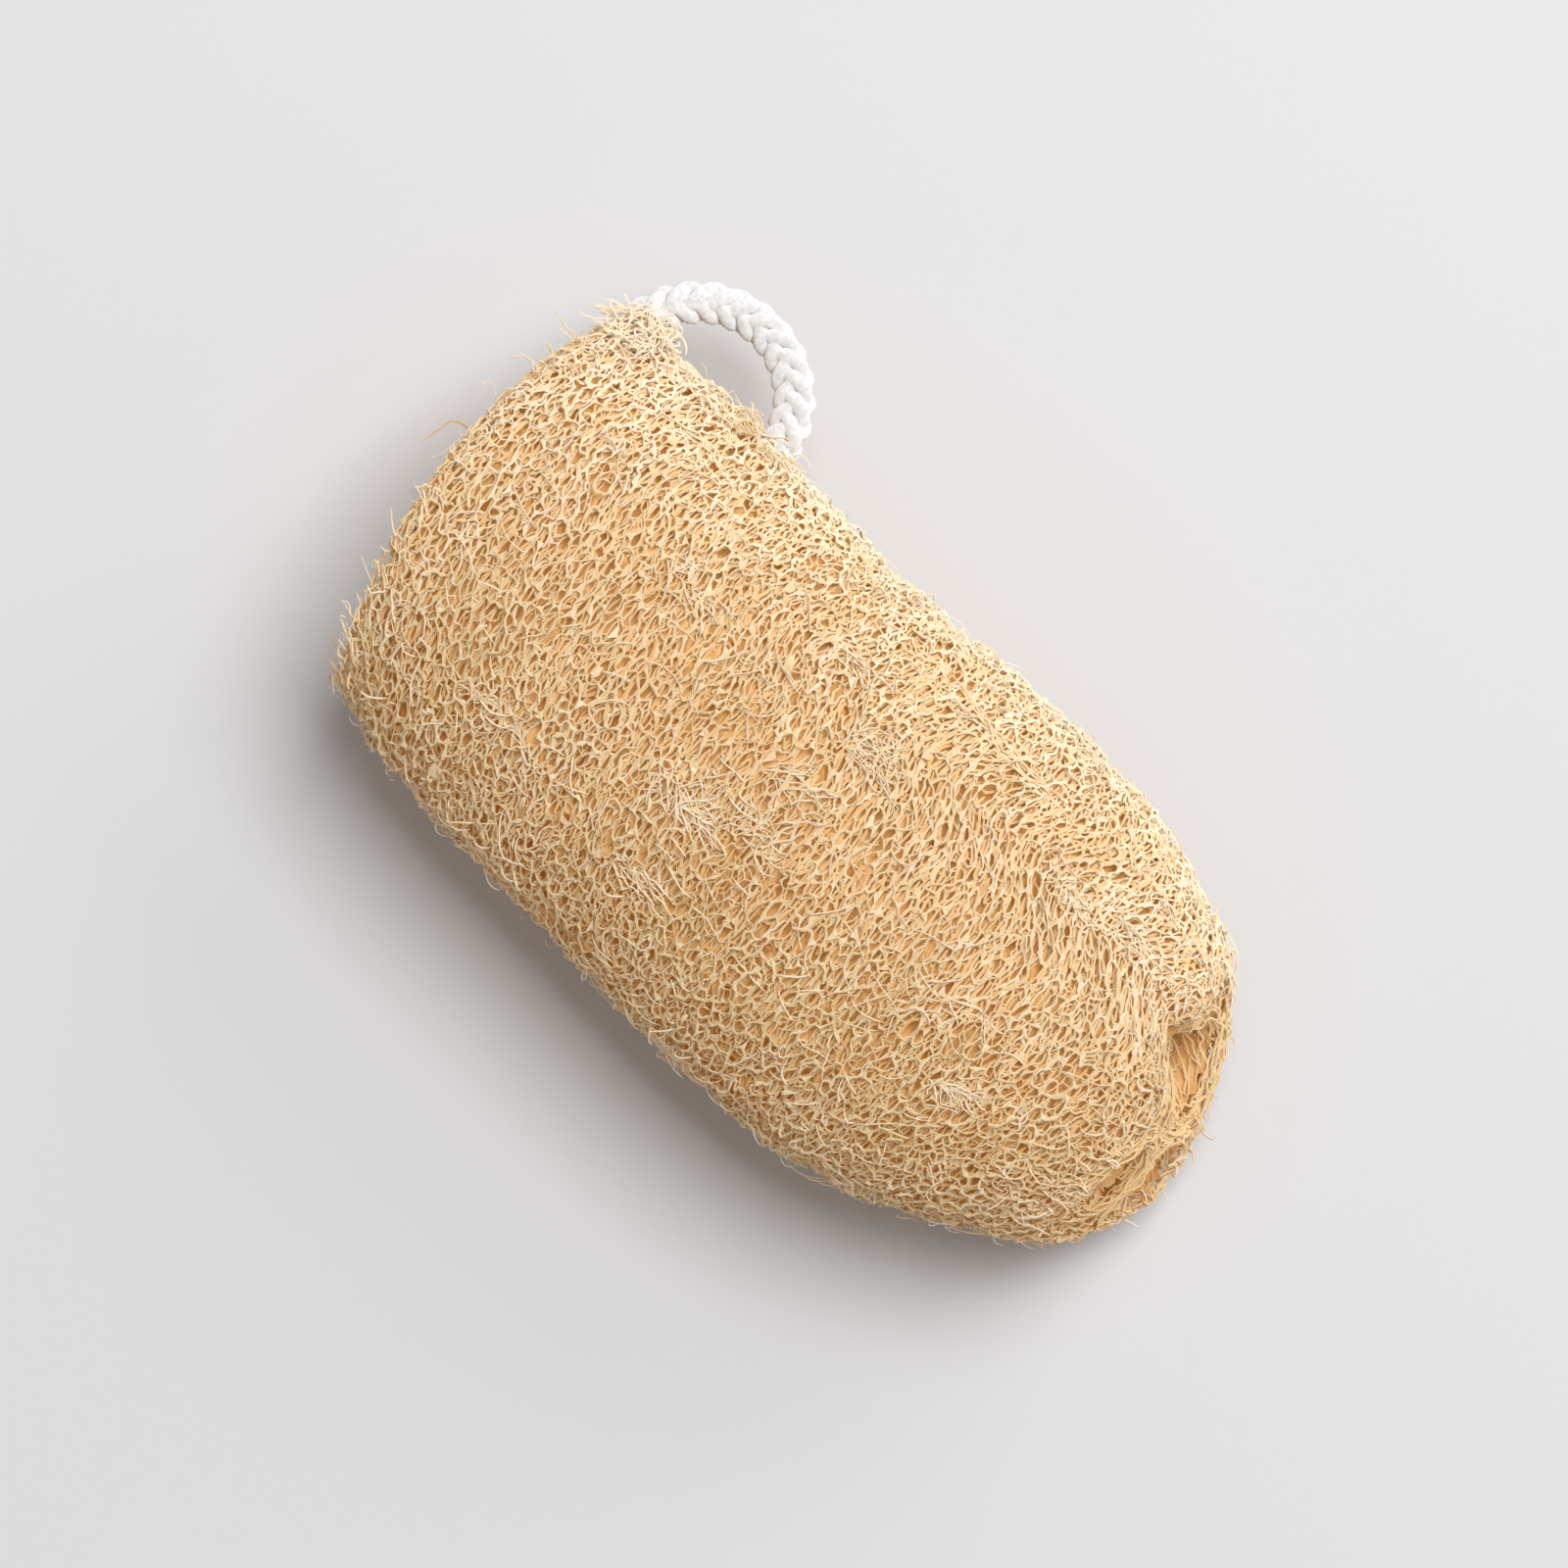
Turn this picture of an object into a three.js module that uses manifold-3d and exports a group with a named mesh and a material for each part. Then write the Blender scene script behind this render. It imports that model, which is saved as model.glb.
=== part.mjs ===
// A natural loofah sponge with a hanging loop of braided cord.
// Millimetres. X runs along the sponge, from the end with the cord to the slanted cut end,
// Y runs across it towards the cord, and Z points up from the surface that the sponge lies on.
import * as THREE from 'three';
import { mergeVertices } from 'three/addons/utils/BufferGeometryUtils.js';
import Module from 'manifold-3d';

const wasm = await Module();
wasm.setup();

// Outer form of the sponge: one row for each place along it.
// Columns: x, half width, y of the middle, height of the top, height of the belly before it is
// pressed flat.
const STATIONS = [
  [-70, 28.6, 1.2, 46.0, 1.4],
  [-56, 31.6, 0.4, 48.5, 0.2],
  [-42, 33.2, -0.4, 50.5, -0.6],
  [-16, 33.1, -0.9, 51.5, -0.9],
  [12, 34.2, 0.2, 51.5, -0.9],
  [29, 33.2, 0.9, 50.0, -0.6],
  [43, 29.4, 1.9, 47.0, 0.6],
  [56, 22.8, 2.9, 41.5, 4.0],
  [70, 15.5, 2.0, 34.0, 8.8],
];
const SECTION_POWER = 2.15; // 2 is an ellipse, and more is squarer

// Cut ends: each says how far along X the sponge reaches at a place on its edge. Both are rounded
// in plan, the cord end a little, and the other end also slants back towards the top.
const CORD_END = { x: -68.2, peakY: 11, roundness: 0.0058 };
const SLANTED_END = { x: 67.8, peakY: -2, roundness: 0.0135, slope: 0.25, lipHeight: 8 };
const END_SECTION_X = 60; // the sections there and at its negative give each end its edge

// The slanted end's upper lip is drawn back, most of all above the channel beside the cord.
const DRAWN_LIP = { depth: 1.5, bottom: 15, top: 29 };
const LIP_NOTCH = { depth: 4.2, y: 14.2, width: 3.6 };

// The net that covers the sponge: rows of six-sided openings between raised strands.
const NET_ROWS = 39;
const NET_COLUMNS = 33;
const STRAND_ZIGZAG = 1 / 6; // of a row's length
const STRAND_WANDER = 0.19; // of a row's length or a half column
const STRAND_HEIGHT_SPREAD = 0.35;
const OPENING_DEPTH = [0.068, 0.1]; // of the sponge's half width there
const VEIN_COUNT = 9; // thicker strands that wander along the sponge
const VEIN_HEIGHT = 0.9;
const VEIN_WIDTH = 0.1; // radians
const VEIN_SWAY = 0.16; // radians
const VEIN_BENDS = [5, 6, 7]; // radians of sway from end to end, taken in turn
const VEIN_PHASE = 1.7; // radians between one vein's sway and the next
const RIM_RAGGED = 1.1;
const SEED = 20731;

// The small flat spot underneath that the sponge rests on.
const REST_SPOT = { halfLength: 12, halfWidth: 7 };

// The cut faces: a ring of cut fibre ends between the rim and the middle.
const FACE_RING = 0.62; // of the way from the middle to the rim
const FACE_SUNK = 1.8;
const FACE_RAGGED = 0.7;

// Three seed channels run from end to end. Angles are from +Y towards +Z.
// Each row: x, how far out the middle lies across and up, half width across and half height.
const CHANNEL_ANGLES = [0.1, 2.3, -1.75];
const CHANNEL_STATIONS = [
  [-76, 15.5, 12.0, 8.4, 7.8],
  [-52, 16.2, 12.0, 8.2, 7.4],
  [-20, 15.8, 12.2, 8.0, 7.2],
  [16, 15.5, 12.0, 7.8, 7.0],
  [40, 13.4, 10.6, 6.9, 6.3],
  [56, 10.8, 8.6, 6.2, 5.7],
  [66, 9.8, 7.8, 6.6, 5.7],
  [76, 9.4, 7.4, 7.0, 5.9],
];
const CHANNEL_SIDES = 12;
const CHANNEL_STEPS = 12;

// The hanging cord: a loop through the wall beside the cut end, with its knot in the first channel.
const CORD_DIAMETER = 5.0;
const CORD_SIDES = 10;
const CORD_CLEARANCE = 0.35;
const CORD_ROUTE = [
  [-44.4, 19.3, 27.0],
  [-41.4, 21.9, 27.0],
  [-39.2, 25.8, 27.0],
  [-38.4, 30.1, 26.8],
  [-39.2, 34.4, 26.2],
  [-41.4, 38.3, 25.3],
  [-44.8, 41.1, 24.4],
  [-48.9, 42.6, 23.8],
  [-53.3, 42.6, 23.8],
  [-57.5, 41.1, 24.3],
  [-60.8, 38.3, 25.2],
  [-63.0, 34.4, 26.1],
  [-63.8, 30.1, 26.8],
  [-63.0, 25.8, 27.0],
  [-60.8, 21.9, 27.0],
  [-57.8, 19.3, 27.0],
];
const WHOLE_CORD = { points: [0, 15], steps: 26 };
const FLANK_LEG = { points: [0, 6], steps: 10 }; // this stretch bores through the flank
const RIM_LEG = { points: [10, 15], steps: 8 }; // this stretch lies in a notch of the cut rim
const NOTCH_SHIFTS = [0, -3, -6, -9]; // the rim leg's bore, repeated along X till it is open

// The knot closes the loop on the loop's own circle.
const LOOP_CENTRE = [-51.1, 30.1, 27.0];
const LOOP_RADIUS = 12.7;
const KNOT_ANGLES = [-2.105, -1.037]; // from the rim leg's end to the flank leg's end
const KNOT_GAP = 0.3;
const KNOT_RADIUS = 4.7;
const KNOT_WRAPS = 2.5;
const KNOT_WRAP_RELIEF = 0.75;
const KNOT_SHOULDER = 0.2; // of its length
const KNOT_STEPS = 18;
const KNOT_SIDES = 14;

const WELD = 1e-4; // points nearer than this are one
const DRIED_FIBRE = 0xd8b387;
const CORD_WHITE = 0xe3dfdd;

function seededRandom(seed) {
  let state = seed >>> 0;
  return () => {
    state = (state + 0x6d2b79f5) >>> 0;
    let mixed = Math.imul(state ^ (state >>> 15), 1 | state);
    mixed = (mixed + Math.imul(mixed ^ (mixed >>> 7), 61 | mixed)) ^ mixed;
    return ((mixed ^ (mixed >>> 14)) >>> 0) / 2 ** 32;
  };
}

const random = seededRandom(SEED);
const spread = (size) => size * (2 * random() - 1);
const between = ([low, high]) => low + (high - low) * random();

// Reads a table whose rows start with their x at any x between them, as one smooth curve.
function tableAlong(rows) {
  const places = rows.map((row) => row[0]);
  const samples = rows.flatMap((row) => row.slice(1));
  const curve = new THREE.CubicInterpolant(places, samples, rows[0].length - 1);
  return (x) => Array.from(curve.evaluate(x));
}

const outerForm = tableAlong(STATIONS);
const channelForm = tableAlong(CHANNEL_STATIONS);

const rounded = (value) => Math.sign(value) * Math.abs(value) ** (2 / SECTION_POWER);

// A point of the sponge's skin, moved outward by height, and pressed flat where it rests.
function skin(x, angle, height) {
  const [halfWidth, middleY, top, belly] = outerForm(x);
  const halfHeight = (top - belly) / 2;
  const y = middleY + (halfWidth + height) * rounded(Math.cos(angle));
  const z = (top + belly) / 2 + (halfHeight + height) * rounded(Math.sin(angle));
  return new THREE.Vector3(x, y, z);
}

function cordEndX(angle) {
  const { y } = skin(-END_SECTION_X, angle, 0);
  return CORD_END.x + CORD_END.roundness * (y - CORD_END.peakY) ** 2;
}

function slantedEndX(angle) {
  const { y, z } = skin(END_SECTION_X, angle, 0);
  const fromPeak = y - SLANTED_END.peakY;
  const fromLip = z - SLANTED_END.lipHeight;
  const cut = SLANTED_END.x - SLANTED_END.roundness * fromPeak ** 2 - SLANTED_END.slope * fromLip;
  const notch = LIP_NOTCH.depth * Math.exp(-(((y - LIP_NOTCH.y) / LIP_NOTCH.width) ** 2));
  const rise = THREE.MathUtils.smoothstep(z, DRAWN_LIP.bottom, DRAWN_LIP.top);
  return cut - (DRAWN_LIP.depth + notch) * rise;
}

// How much higher the strands stand where a lengthwise vein passes.
function veinHeight(share, angle) {
  let height = 0;
  for (let vein = 0; vein < VEIN_COUNT; vein += 1) {
    const start = (vein * 2 * Math.PI) / VEIN_COUNT;
    const bends = VEIN_BENDS[vein % VEIN_BENDS.length];
    const middle = start + VEIN_SWAY * Math.sin(share * bends + vein * VEIN_PHASE);
    const away = Math.atan2(Math.sin(angle - middle), Math.cos(angle - middle));
    height += VEIN_HEIGHT * Math.exp(-((away / VEIN_WIDTH) ** 2));
  }
  return height;
}

// One corner of the net, where strands meet, on ring number row.
function strandCorner(row, index) {
  const around = 2 * NET_COLUMNS;
  const isRim = row === 0 || row === NET_ROWS;
  const zigzag = isRim ? 0 : STRAND_ZIGZAG * ((row + index) % 2 === 0 ? -1 : 1);
  const angle = ((index + spread(STRAND_WANDER)) * 2 * Math.PI) / around;
  const share = (row + zigzag + (isRim ? 0 : spread(STRAND_WANDER))) / NET_ROWS;
  const start = cordEndX(angle);
  const end = slantedEndX(angle);
  const x = start + (end - start) * share + (isRim ? spread(RIM_RAGGED) : 0);
  const height = spread(STRAND_HEIGHT_SPREAD) + veinHeight(share, angle);
  const corner = skin(x, angle, height);
  corner.z = Math.max(corner.z, 0);
  return corner;
}

// The sunk middle of one opening of the net. On the rest spot it lies level with the strands.
function openingFloor(row, index, corners) {
  const floor = new THREE.Vector3();
  corners.forEach((corner) => floor.add(corner));
  floor.divideScalar(corners.length);
  const [halfWidthHere, , top, belly] = outerForm(floor.x);
  const depth = between(OPENING_DEPTH) * halfWidthHere;
  const { halfLength, halfWidth } = REST_SPOT;
  const flat = corners.every((corner) => corner.z === 0);
  if (flat && Math.abs(floor.x) < halfLength && Math.abs(floor.y) < halfWidth) {
    return floor;
  }
  const angle = (index * Math.PI) / NET_COLUMNS;
  const halfHeight = (top - belly) / 2;
  const outward = new THREE.Vector3(0, Math.cos(angle) / halfWidthHere, Math.sin(angle) / halfHeight);
  return floor.addScaledVector(outward.normalize(), -depth);
}

// The whole sponge before its channels are opened: the net, and a ragged cut face at each end.
function netBody() {
  const around = 2 * NET_COLUMNS;
  const points = [];
  const triangles = [];
  const add = (point) => points.push(point) - 1;
  const rings = [];
  for (let row = 0; row <= NET_ROWS; row += 1) {
    const ring = [];
    for (let index = 0; index < around; index += 1) {
      ring.push(add(strandCorner(row, index)));
    }
    rings.push(ring);
  }
  for (let row = 0; row < NET_ROWS; row += 1) {
    for (let index = row % 2; index < around; index += 2) {
      const before = (index + around - 1) % around;
      const after = (index + 1) % around;
      const near = rings[row];
      const far = rings[row + 1];
      const edge = [near[before], near[index], near[after], far[after], far[index], far[before]];
      const middle = add(openingFloor(row, index, edge.map((corner) => points[corner])));
      edge.forEach((corner, place) => {
        triangles.push([middle, corner, edge[(place + 1) % edge.length]]);
      });
    }
  }
  addCutFace(rings[0], -1, points, triangles, add);
  addCutFace(rings[NET_ROWS], 1, points, triangles, add);
  return meshFrom(points, triangles);
}

// Side is the way along X that the face looks, 1 or -1.
function addCutFace(rim, side, points, triangles, add) {
  const middle = new THREE.Vector3();
  rim.forEach((corner) => middle.add(points[corner]));
  middle.divideScalar(rim.length);
  const sunk = () => new THREE.Vector3(-side * (FACE_SUNK + spread(FACE_RAGGED)), 0, 0);
  const ring = [];
  for (let index = 0; index < rim.length; index += 2) {
    const edge = points[rim[index]];
    ring.push(add(middle.clone().lerp(edge, FACE_RING).add(sunk())));
  }
  const centre = add(middle.clone().add(sunk()));
  const turned = (a, b, c) => triangles.push(side > 0 ? [a, b, c] : [a, c, b]);
  ring.forEach((inner, place) => {
    const next = ring[(place + 1) % ring.length];
    const corner = rim[2 * place];
    const midway = rim[2 * place + 1];
    const nextCorner = rim[(2 * place + 2) % rim.length];
    turned(inner, corner, midway);
    turned(inner, midway, next);
    turned(next, midway, nextCorner);
    turned(centre, inner, next);
  });
}

function meshFrom(points, triangles) {
  const geometry = new THREE.BufferGeometry();
  const places = points.flatMap((point) => point.toArray());
  geometry.setAttribute('position', new THREE.Float32BufferAttribute(places, 3));
  geometry.setIndex(triangles.flat());
  return geometry;
}

// A closed solid through rings of the same number of points, with a fan at each end.
function loft(rings) {
  const points = rings.flat();
  const count = rings[0].length;
  const triangles = [];
  for (let step = 0; step < rings.length - 1; step += 1) {
    for (let index = 0; index < count; index += 1) {
      const next = (index + 1) % count;
      const here = step * count;
      const ahead = here + count;
      triangles.push([here + index, here + next, ahead + next]);
      triangles.push([here + index, ahead + next, ahead + index]);
    }
  }
  const capped = (ring, first, turned) => {
    const middle = new THREE.Vector3();
    ring.forEach((point) => middle.add(point));
    const centre = points.push(middle.divideScalar(count)) - 1;
    ring.forEach((_, index) => {
      const pair = [first + index, first + ((index + 1) % count)];
      triangles.push(turned ? [centre, pair[1], pair[0]] : [centre, pair[0], pair[1]]);
    });
  };
  capped(rings[0], 0, true);
  capped(rings[rings.length - 1], (rings.length - 1) * count, false);
  return meshFrom(points, triangles);
}

function solidFrom(geometry) {
  geometry.deleteAttribute('normal');
  geometry.deleteAttribute('uv');
  const welded = mergeVertices(geometry, WELD);
  return new wasm.Manifold(new wasm.Mesh({
    numProp: 3,
    vertProperties: new Float32Array(welded.attributes.position.array),
    triVerts: new Uint32Array(welded.index.array),
  }));
}

function geometryFrom(solid) {
  const mesh = solid.getMesh();
  const geometry = new THREE.BufferGeometry();
  geometry.setAttribute('position', new THREE.Float32BufferAttribute(mesh.vertProperties, 3));
  geometry.setIndex(Array.from(mesh.triVerts));
  geometry.computeVertexNormals();
  return geometry;
}

function channel(angle) {
  const first = CHANNEL_STATIONS[0][0];
  const last = CHANNEL_STATIONS[CHANNEL_STATIONS.length - 1][0];
  const rings = [];
  for (let step = 0; step <= CHANNEL_STEPS; step += 1) {
    const x = first + ((last - first) * step) / CHANNEL_STEPS;
    const [outY, outZ, halfWidth, halfHeight] = channelForm(x);
    const [, middleY, top, belly] = outerForm(x);
    const y = middleY + outY * Math.cos(angle);
    const z = (top + belly) / 2 + outZ * Math.sin(angle);
    const ring = [];
    for (let side = 0; side < CHANNEL_SIDES; side += 1) {
      const turn = (side * 2 * Math.PI) / CHANNEL_SIDES;
      ring.push(new THREE.Vector3(x, y + halfWidth * Math.cos(turn), z + halfHeight * Math.sin(turn)));
    }
    rings.push(ring);
  }
  return solidFrom(loft(rings));
}

// A plain round tube along the route, from one of its points to another.
function tube(radius, { points: [first, last], steps }) {
  const route = CORD_ROUTE.slice(first, last + 1).map((place) => new THREE.Vector3(...place));
  const outline = new THREE.Shape();
  for (let side = 0; side < CORD_SIDES; side += 1) {
    const turn = (side * 2 * Math.PI) / CORD_SIDES;
    const place = [radius * Math.cos(turn), radius * Math.sin(turn)];
    if (side === 0) {
      outline.moveTo(...place);
    } else {
      outline.lineTo(...place);
    }
  }
  outline.closePath();
  return new THREE.ExtrudeGeometry(outline, {
    steps,
    bevelEnabled: false,
    extrudePath: new THREE.CatmullRomCurve3(route),
  });
}

// The two places where the cord passes the wall: a bore in the flank and a notch in the cut rim.
function cordPassages() {
  const radius = CORD_DIAMETER / 2 + CORD_CLEARANCE;
  const passages = [solidFrom(tube(radius, FLANK_LEG))];
  NOTCH_SHIFTS.forEach((shift) => {
    passages.push(solidFrom(tube(radius, RIM_LEG).translate(shift, 0, 0)));
  });
  return passages;
}

function spongeGeometry() {
  const body = netBody();
  body.computeBoundingBox();
  const middle = body.boundingBox.getCenter(new THREE.Vector3());
  body.translate(-middle.x, -middle.y, -body.boundingBox.min.z);
  let solid = solidFrom(body);
  CHANNEL_ANGLES.forEach((angle) => {
    solid = solid.subtract(channel(angle));
  });
  cordPassages().forEach((passage) => {
    solid = solid.subtract(passage);
  });
  return geometryFrom(solid);
}

// The knot: the cord wound on itself along a short arc of the loop's circle.
function knotGeometry() {
  const gapAngle = KNOT_GAP / LOOP_RADIUS;
  const [from, to] = [KNOT_ANGLES[0] + gapAngle, KNOT_ANGLES[1] - gapAngle];
  const cordRadius = CORD_DIAMETER / 2;
  const rings = [];
  for (let step = 0; step <= KNOT_STEPS; step += 1) {
    const share = step / KNOT_STEPS;
    const angle = from + (to - from) * share;
    const outward = new THREE.Vector3(Math.cos(angle), Math.sin(angle), 0);
    const centre = new THREE.Vector3(...LOOP_CENTRE).addScaledVector(outward, LOOP_RADIUS);
    const fullness = Math.min(1, Math.min(share, 1 - share) / KNOT_SHOULDER);
    const swell = Math.sin((fullness * Math.PI) / 2);
    const ring = [];
    for (let side = 0; side < KNOT_SIDES; side += 1) {
      const turn = (side * 2 * Math.PI) / KNOT_SIDES;
      const wrap = Math.cos(KNOT_WRAPS * 2 * Math.PI * share + turn) * KNOT_WRAP_RELIEF;
      const radius = cordRadius + (KNOT_RADIUS - cordRadius + wrap) * swell;
      const point = centre.clone().addScaledVector(outward, radius * Math.cos(turn));
      point.z -= radius * Math.sin(turn);
      ring.push(point);
    }
    rings.push(ring);
  }
  return geometryFrom(solidFrom(loft(rings)));
}

function piece(name, geometry, colour, roughness) {
  const material = new THREE.MeshStandardMaterial({ color: colour, roughness, metalness: 0 });
  const mesh = new THREE.Mesh(geometry, material);
  mesh.name = name;
  return mesh;
}

const loofah = new THREE.Group();
loofah.add(piece('loofah_sponge', spongeGeometry(), DRIED_FIBRE, 0.85));
loofah.add(piece('hanging_cord', tube(CORD_DIAMETER / 2, WHOLE_CORD), CORD_WHITE, 0.7));
loofah.add(piece('cord_knot', knotGeometry(), CORD_WHITE, 0.7));

export default loofah;
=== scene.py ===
"""A natural loofah sponge with a braided hanging loop, lying on a pale surface, seen from above."""
import math

import bpy
import numpy as np
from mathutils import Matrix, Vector
from mathutils.geometry import delaunay_2d_cdt


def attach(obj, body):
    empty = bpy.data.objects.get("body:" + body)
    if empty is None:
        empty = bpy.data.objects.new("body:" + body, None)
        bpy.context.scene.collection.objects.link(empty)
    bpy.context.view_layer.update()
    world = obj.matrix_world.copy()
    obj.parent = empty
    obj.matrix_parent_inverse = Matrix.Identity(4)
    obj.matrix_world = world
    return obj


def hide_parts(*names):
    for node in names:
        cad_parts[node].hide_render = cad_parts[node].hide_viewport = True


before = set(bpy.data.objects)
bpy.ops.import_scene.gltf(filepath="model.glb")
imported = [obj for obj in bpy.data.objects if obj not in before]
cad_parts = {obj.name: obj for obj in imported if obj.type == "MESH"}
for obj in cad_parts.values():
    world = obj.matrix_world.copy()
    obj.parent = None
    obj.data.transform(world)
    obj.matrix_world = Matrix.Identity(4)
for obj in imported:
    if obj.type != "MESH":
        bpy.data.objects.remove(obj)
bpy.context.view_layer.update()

# Sizes are in millimetres, as in the part's source, and MM turns them into metres.
MM = 0.001
FULL_TURN = 2 * math.pi

# The sponge's outer form: x, half width, y of the middle, height of the top, and height of the
# belly before it is pressed flat.
STATIONS = np.array([
    [-70, 28.6, 1.2, 46.0, 1.4],
    [-56, 31.6, 0.4, 48.5, 0.2],
    [-42, 33.2, -0.4, 50.5, -0.6],
    [-16, 33.1, -0.9, 51.5, -0.9],
    [12, 34.2, 0.2, 51.5, -0.9],
    [29, 33.2, 0.9, 50.0, -0.6],
    [43, 29.4, 1.9, 47.0, 0.6],
    [56, 22.8, 2.9, 41.5, 4.0],
    [70, 15.5, 2.0, 34.0, 8.8],
])
SECTION_POWER = 2.15  # 2 is an ellipse, and more is squarer
CORD_END = {"x": -68.2, "peak_y": 11, "roundness": 0.0058}
SLANTED_END = {"x": 67.8, "peak_y": -2, "roundness": 0.0135, "slope": 0.25, "lip_height": 8}
DRAWN_LIP = {"depth": 1.5, "bottom": 15, "top": 29}
LIP_NOTCH = {"depth": 4.2, "y": 14.2, "width": 3.6}
END_SECTION_X = 60  # the sections there and at its negative give each end its edge

# Seed channels: x, how far out the middle lies across and up, half width, half height.
CHANNEL_ANGLES = [0.1, 2.3, -1.75]
CHANNEL_STATIONS = np.array([
    [-76, 15.5, 12.0, 8.4, 7.8],
    [-52, 16.2, 12.0, 8.2, 7.4],
    [-20, 15.8, 12.2, 8.0, 7.2],
    [16, 15.5, 12.0, 7.8, 7.0],
    [40, 13.4, 10.6, 6.9, 6.3],
    [56, 10.8, 8.6, 6.2, 5.7],
    [66, 9.8, 7.8, 6.6, 5.7],
    [76, 9.4, 7.4, 7.0, 5.9],
])

# The cord's route, as in the part's source.
CORD_DIAMETER = 5.0
CORD_ROUTE = np.array([
    [-44.4, 19.3, 27.0], [-41.4, 21.9, 27.0], [-39.2, 25.8, 27.0], [-38.4, 30.1, 26.8],
    [-39.2, 34.4, 26.2], [-41.4, 38.3, 25.3], [-44.8, 41.1, 24.4], [-48.9, 42.6, 23.8],
    [-53.3, 42.6, 23.8], [-57.5, 41.1, 24.3], [-60.8, 38.3, 25.2], [-63.0, 34.4, 26.1],
    [-63.8, 30.1, 26.8], [-63.0, 25.8, 27.0], [-60.8, 21.9, 27.0], [-57.8, 19.3, 27.0],
])
KNOT_CENTRE = np.array([-51.1, 17.6, 27.0])

# The view: one of the picture's pixels is PIXEL millimetres at the sponge's middle height.
PIXEL = 0.13
PHOTO_SIDE = 1600
VIEW_TURN = math.radians(45.26)  # the sponge's length runs down to the right in the picture
ORIGIN_PIXEL = (825.1, 847.8)  # where the frame's origin is in the picture
CAMERA_DISTANCE = 900.0
MIDDLE_HEIGHT = 26.0
SENSOR = 36.0

# The outside's own coordinates: along, from the corded rim to the other, and around, from
# underneath and back to it.
LENGTH = 134.0
GIRTH = 196.0
SEAM_ANGLE = -math.pi / 2
CROWDING = 0.22  # of cells on top, with wider ones underneath
LOWEST = 0.35  # no fibre's middle lies nearer to the surface underneath

# The rims: how far their nets turn in and over what length, how they lie on the slanted face,
# and over what length fibres stop being shaded by the outside's direction.
LIP_ROLL = 2.0
LIP_LENGTH = 4.5
CORD_RIM_ROLL = 0.5 * LIP_ROLL
CORD_RIM_LENGTH = 0.6 * LIP_LENGTH
OVER_FACE = {"lift": 0.6, "relief": 0.6, "dip_length": 2.0, "dip_slope": 0.5}
RIM_BLEND = {"near": 2.5, "far": 5.0, "least": 0.03}
RIM_INSIDE = {"near": 1.0, "far": 0.5}

# The net is heaped over the cord where it leaves the sponge at the rim.
HEAP = {"along": 4.0, "around": 52.0, "reach": 5.4, "rise": 3.0}

# Strands: how evenly they are shaded, and how their thickness, course and tone vary. The flank that
# faces the lamps, on the cord's side, is painted paler as painted light, and the ends are paler
# too.
EVENNESS = 0.9
MOST_STEPS = 6
STRAIGHT_ENOUGH = -0.2
DRIFT = {"share": 0.45, "scale": 9.0}
STRAND = {"swell_scale": 14.0, "thin_bias": 1.7, "stray": 0.14, "fullness": (0.75, 1.25),
          "waist": 1.8, "tone_by_string": 0.3, "tone_along": 0.2, "wobble": 0.1}
WEB = {"reach": (0.3, 0.62), "hub_share": 0.7, "tip_share": 0.3, "paler": 0.15}
LIT_FLANK_AND_ENDS = {"flank": 30.0, "more_aside": 0.32, "more_at_ends": 0.16, "less_between": 0.16}

# Cut faces and seed channels.
FACE_WIDTH = 72.0
FACE_HEIGHT = 54.0
FACE_EDGE = 0.96
FACE_LEAN = 0.8  # fibres there are lit from in front and from above
MOUTH_SECTION_X = {"near": -66.0, "far": 62.0}
MOUTH_RAGGED = 1.2
CHANNEL_RADIUS = 6.4
LINING_SIDES = 44
LINING_STEPS = 70
LINING_BACK = 1.2
LINING_RAGGED = {"near": (-0.6, 0.8), "far": (-1.0, 0.6)}
LINING_INSET = 0.35
LINING_CRINKLES = ((0.28, 7.0), (0.2, 2.2))
LINING_CLEAR_OF_CORD = 0.75 * CORD_DIAMETER

# The nets, from the outside in. A cell is given along and around, and heights are above the
# outside. Dropped is the share of strands left out, and ragged how far the rims are frayed. Their
# tones darken inwards, partly as painted shade between the layers.
WRAPPING_NETS = {
    "outer_net": {
        "cell": (1.7, 3.6), "wander": 0.5, "height": (-0.5, 0.45), "radius": (0.13, 0.31),
        "spacing": 0.9, "tone": 0.42, "dropped": 0.1, "ragged": (1.4, 3.2),
        "swell": 0.3, "flare": 0.45, "webs": 0.35, "wobble": 0.2},
    "second_net": {
        "cell": (1.9, 2.9), "wander": 0.5, "height": (-0.8, 0.05), "radius": (0.12, 0.27),
        "spacing": 1.0, "tone": 0.3, "dropped": 0.08, "ragged": (1.2, 2.4),
        "swell": 0.3, "flare": 0.4, "webs": 0.3, "wobble": 0.2},
    "middle_net": {
        "cell": (1.15, 4.6), "wander": 0.48, "height": (-1.1, -0.3), "radius": (0.12, 0.26),
        "spacing": 1.4, "tone": 0.3, "dropped": 0.06, "ragged": (1.0, 1.6),
        "swell": 0.3, "flare": 0.15, "wobble": 0.15},
    "deep_net": {
        "cell": (1.4, 4.8), "wander": 0.48, "height": (-1.55, -0.65), "radius": (0.17, 0.3),
        "spacing": 1.6, "tone": 0.25, "dropped": 0.05, "ragged": (0.6, 1.0),
        "swell": 0.3, "flare": 0.15, "wobble": 0.15},
}
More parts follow.
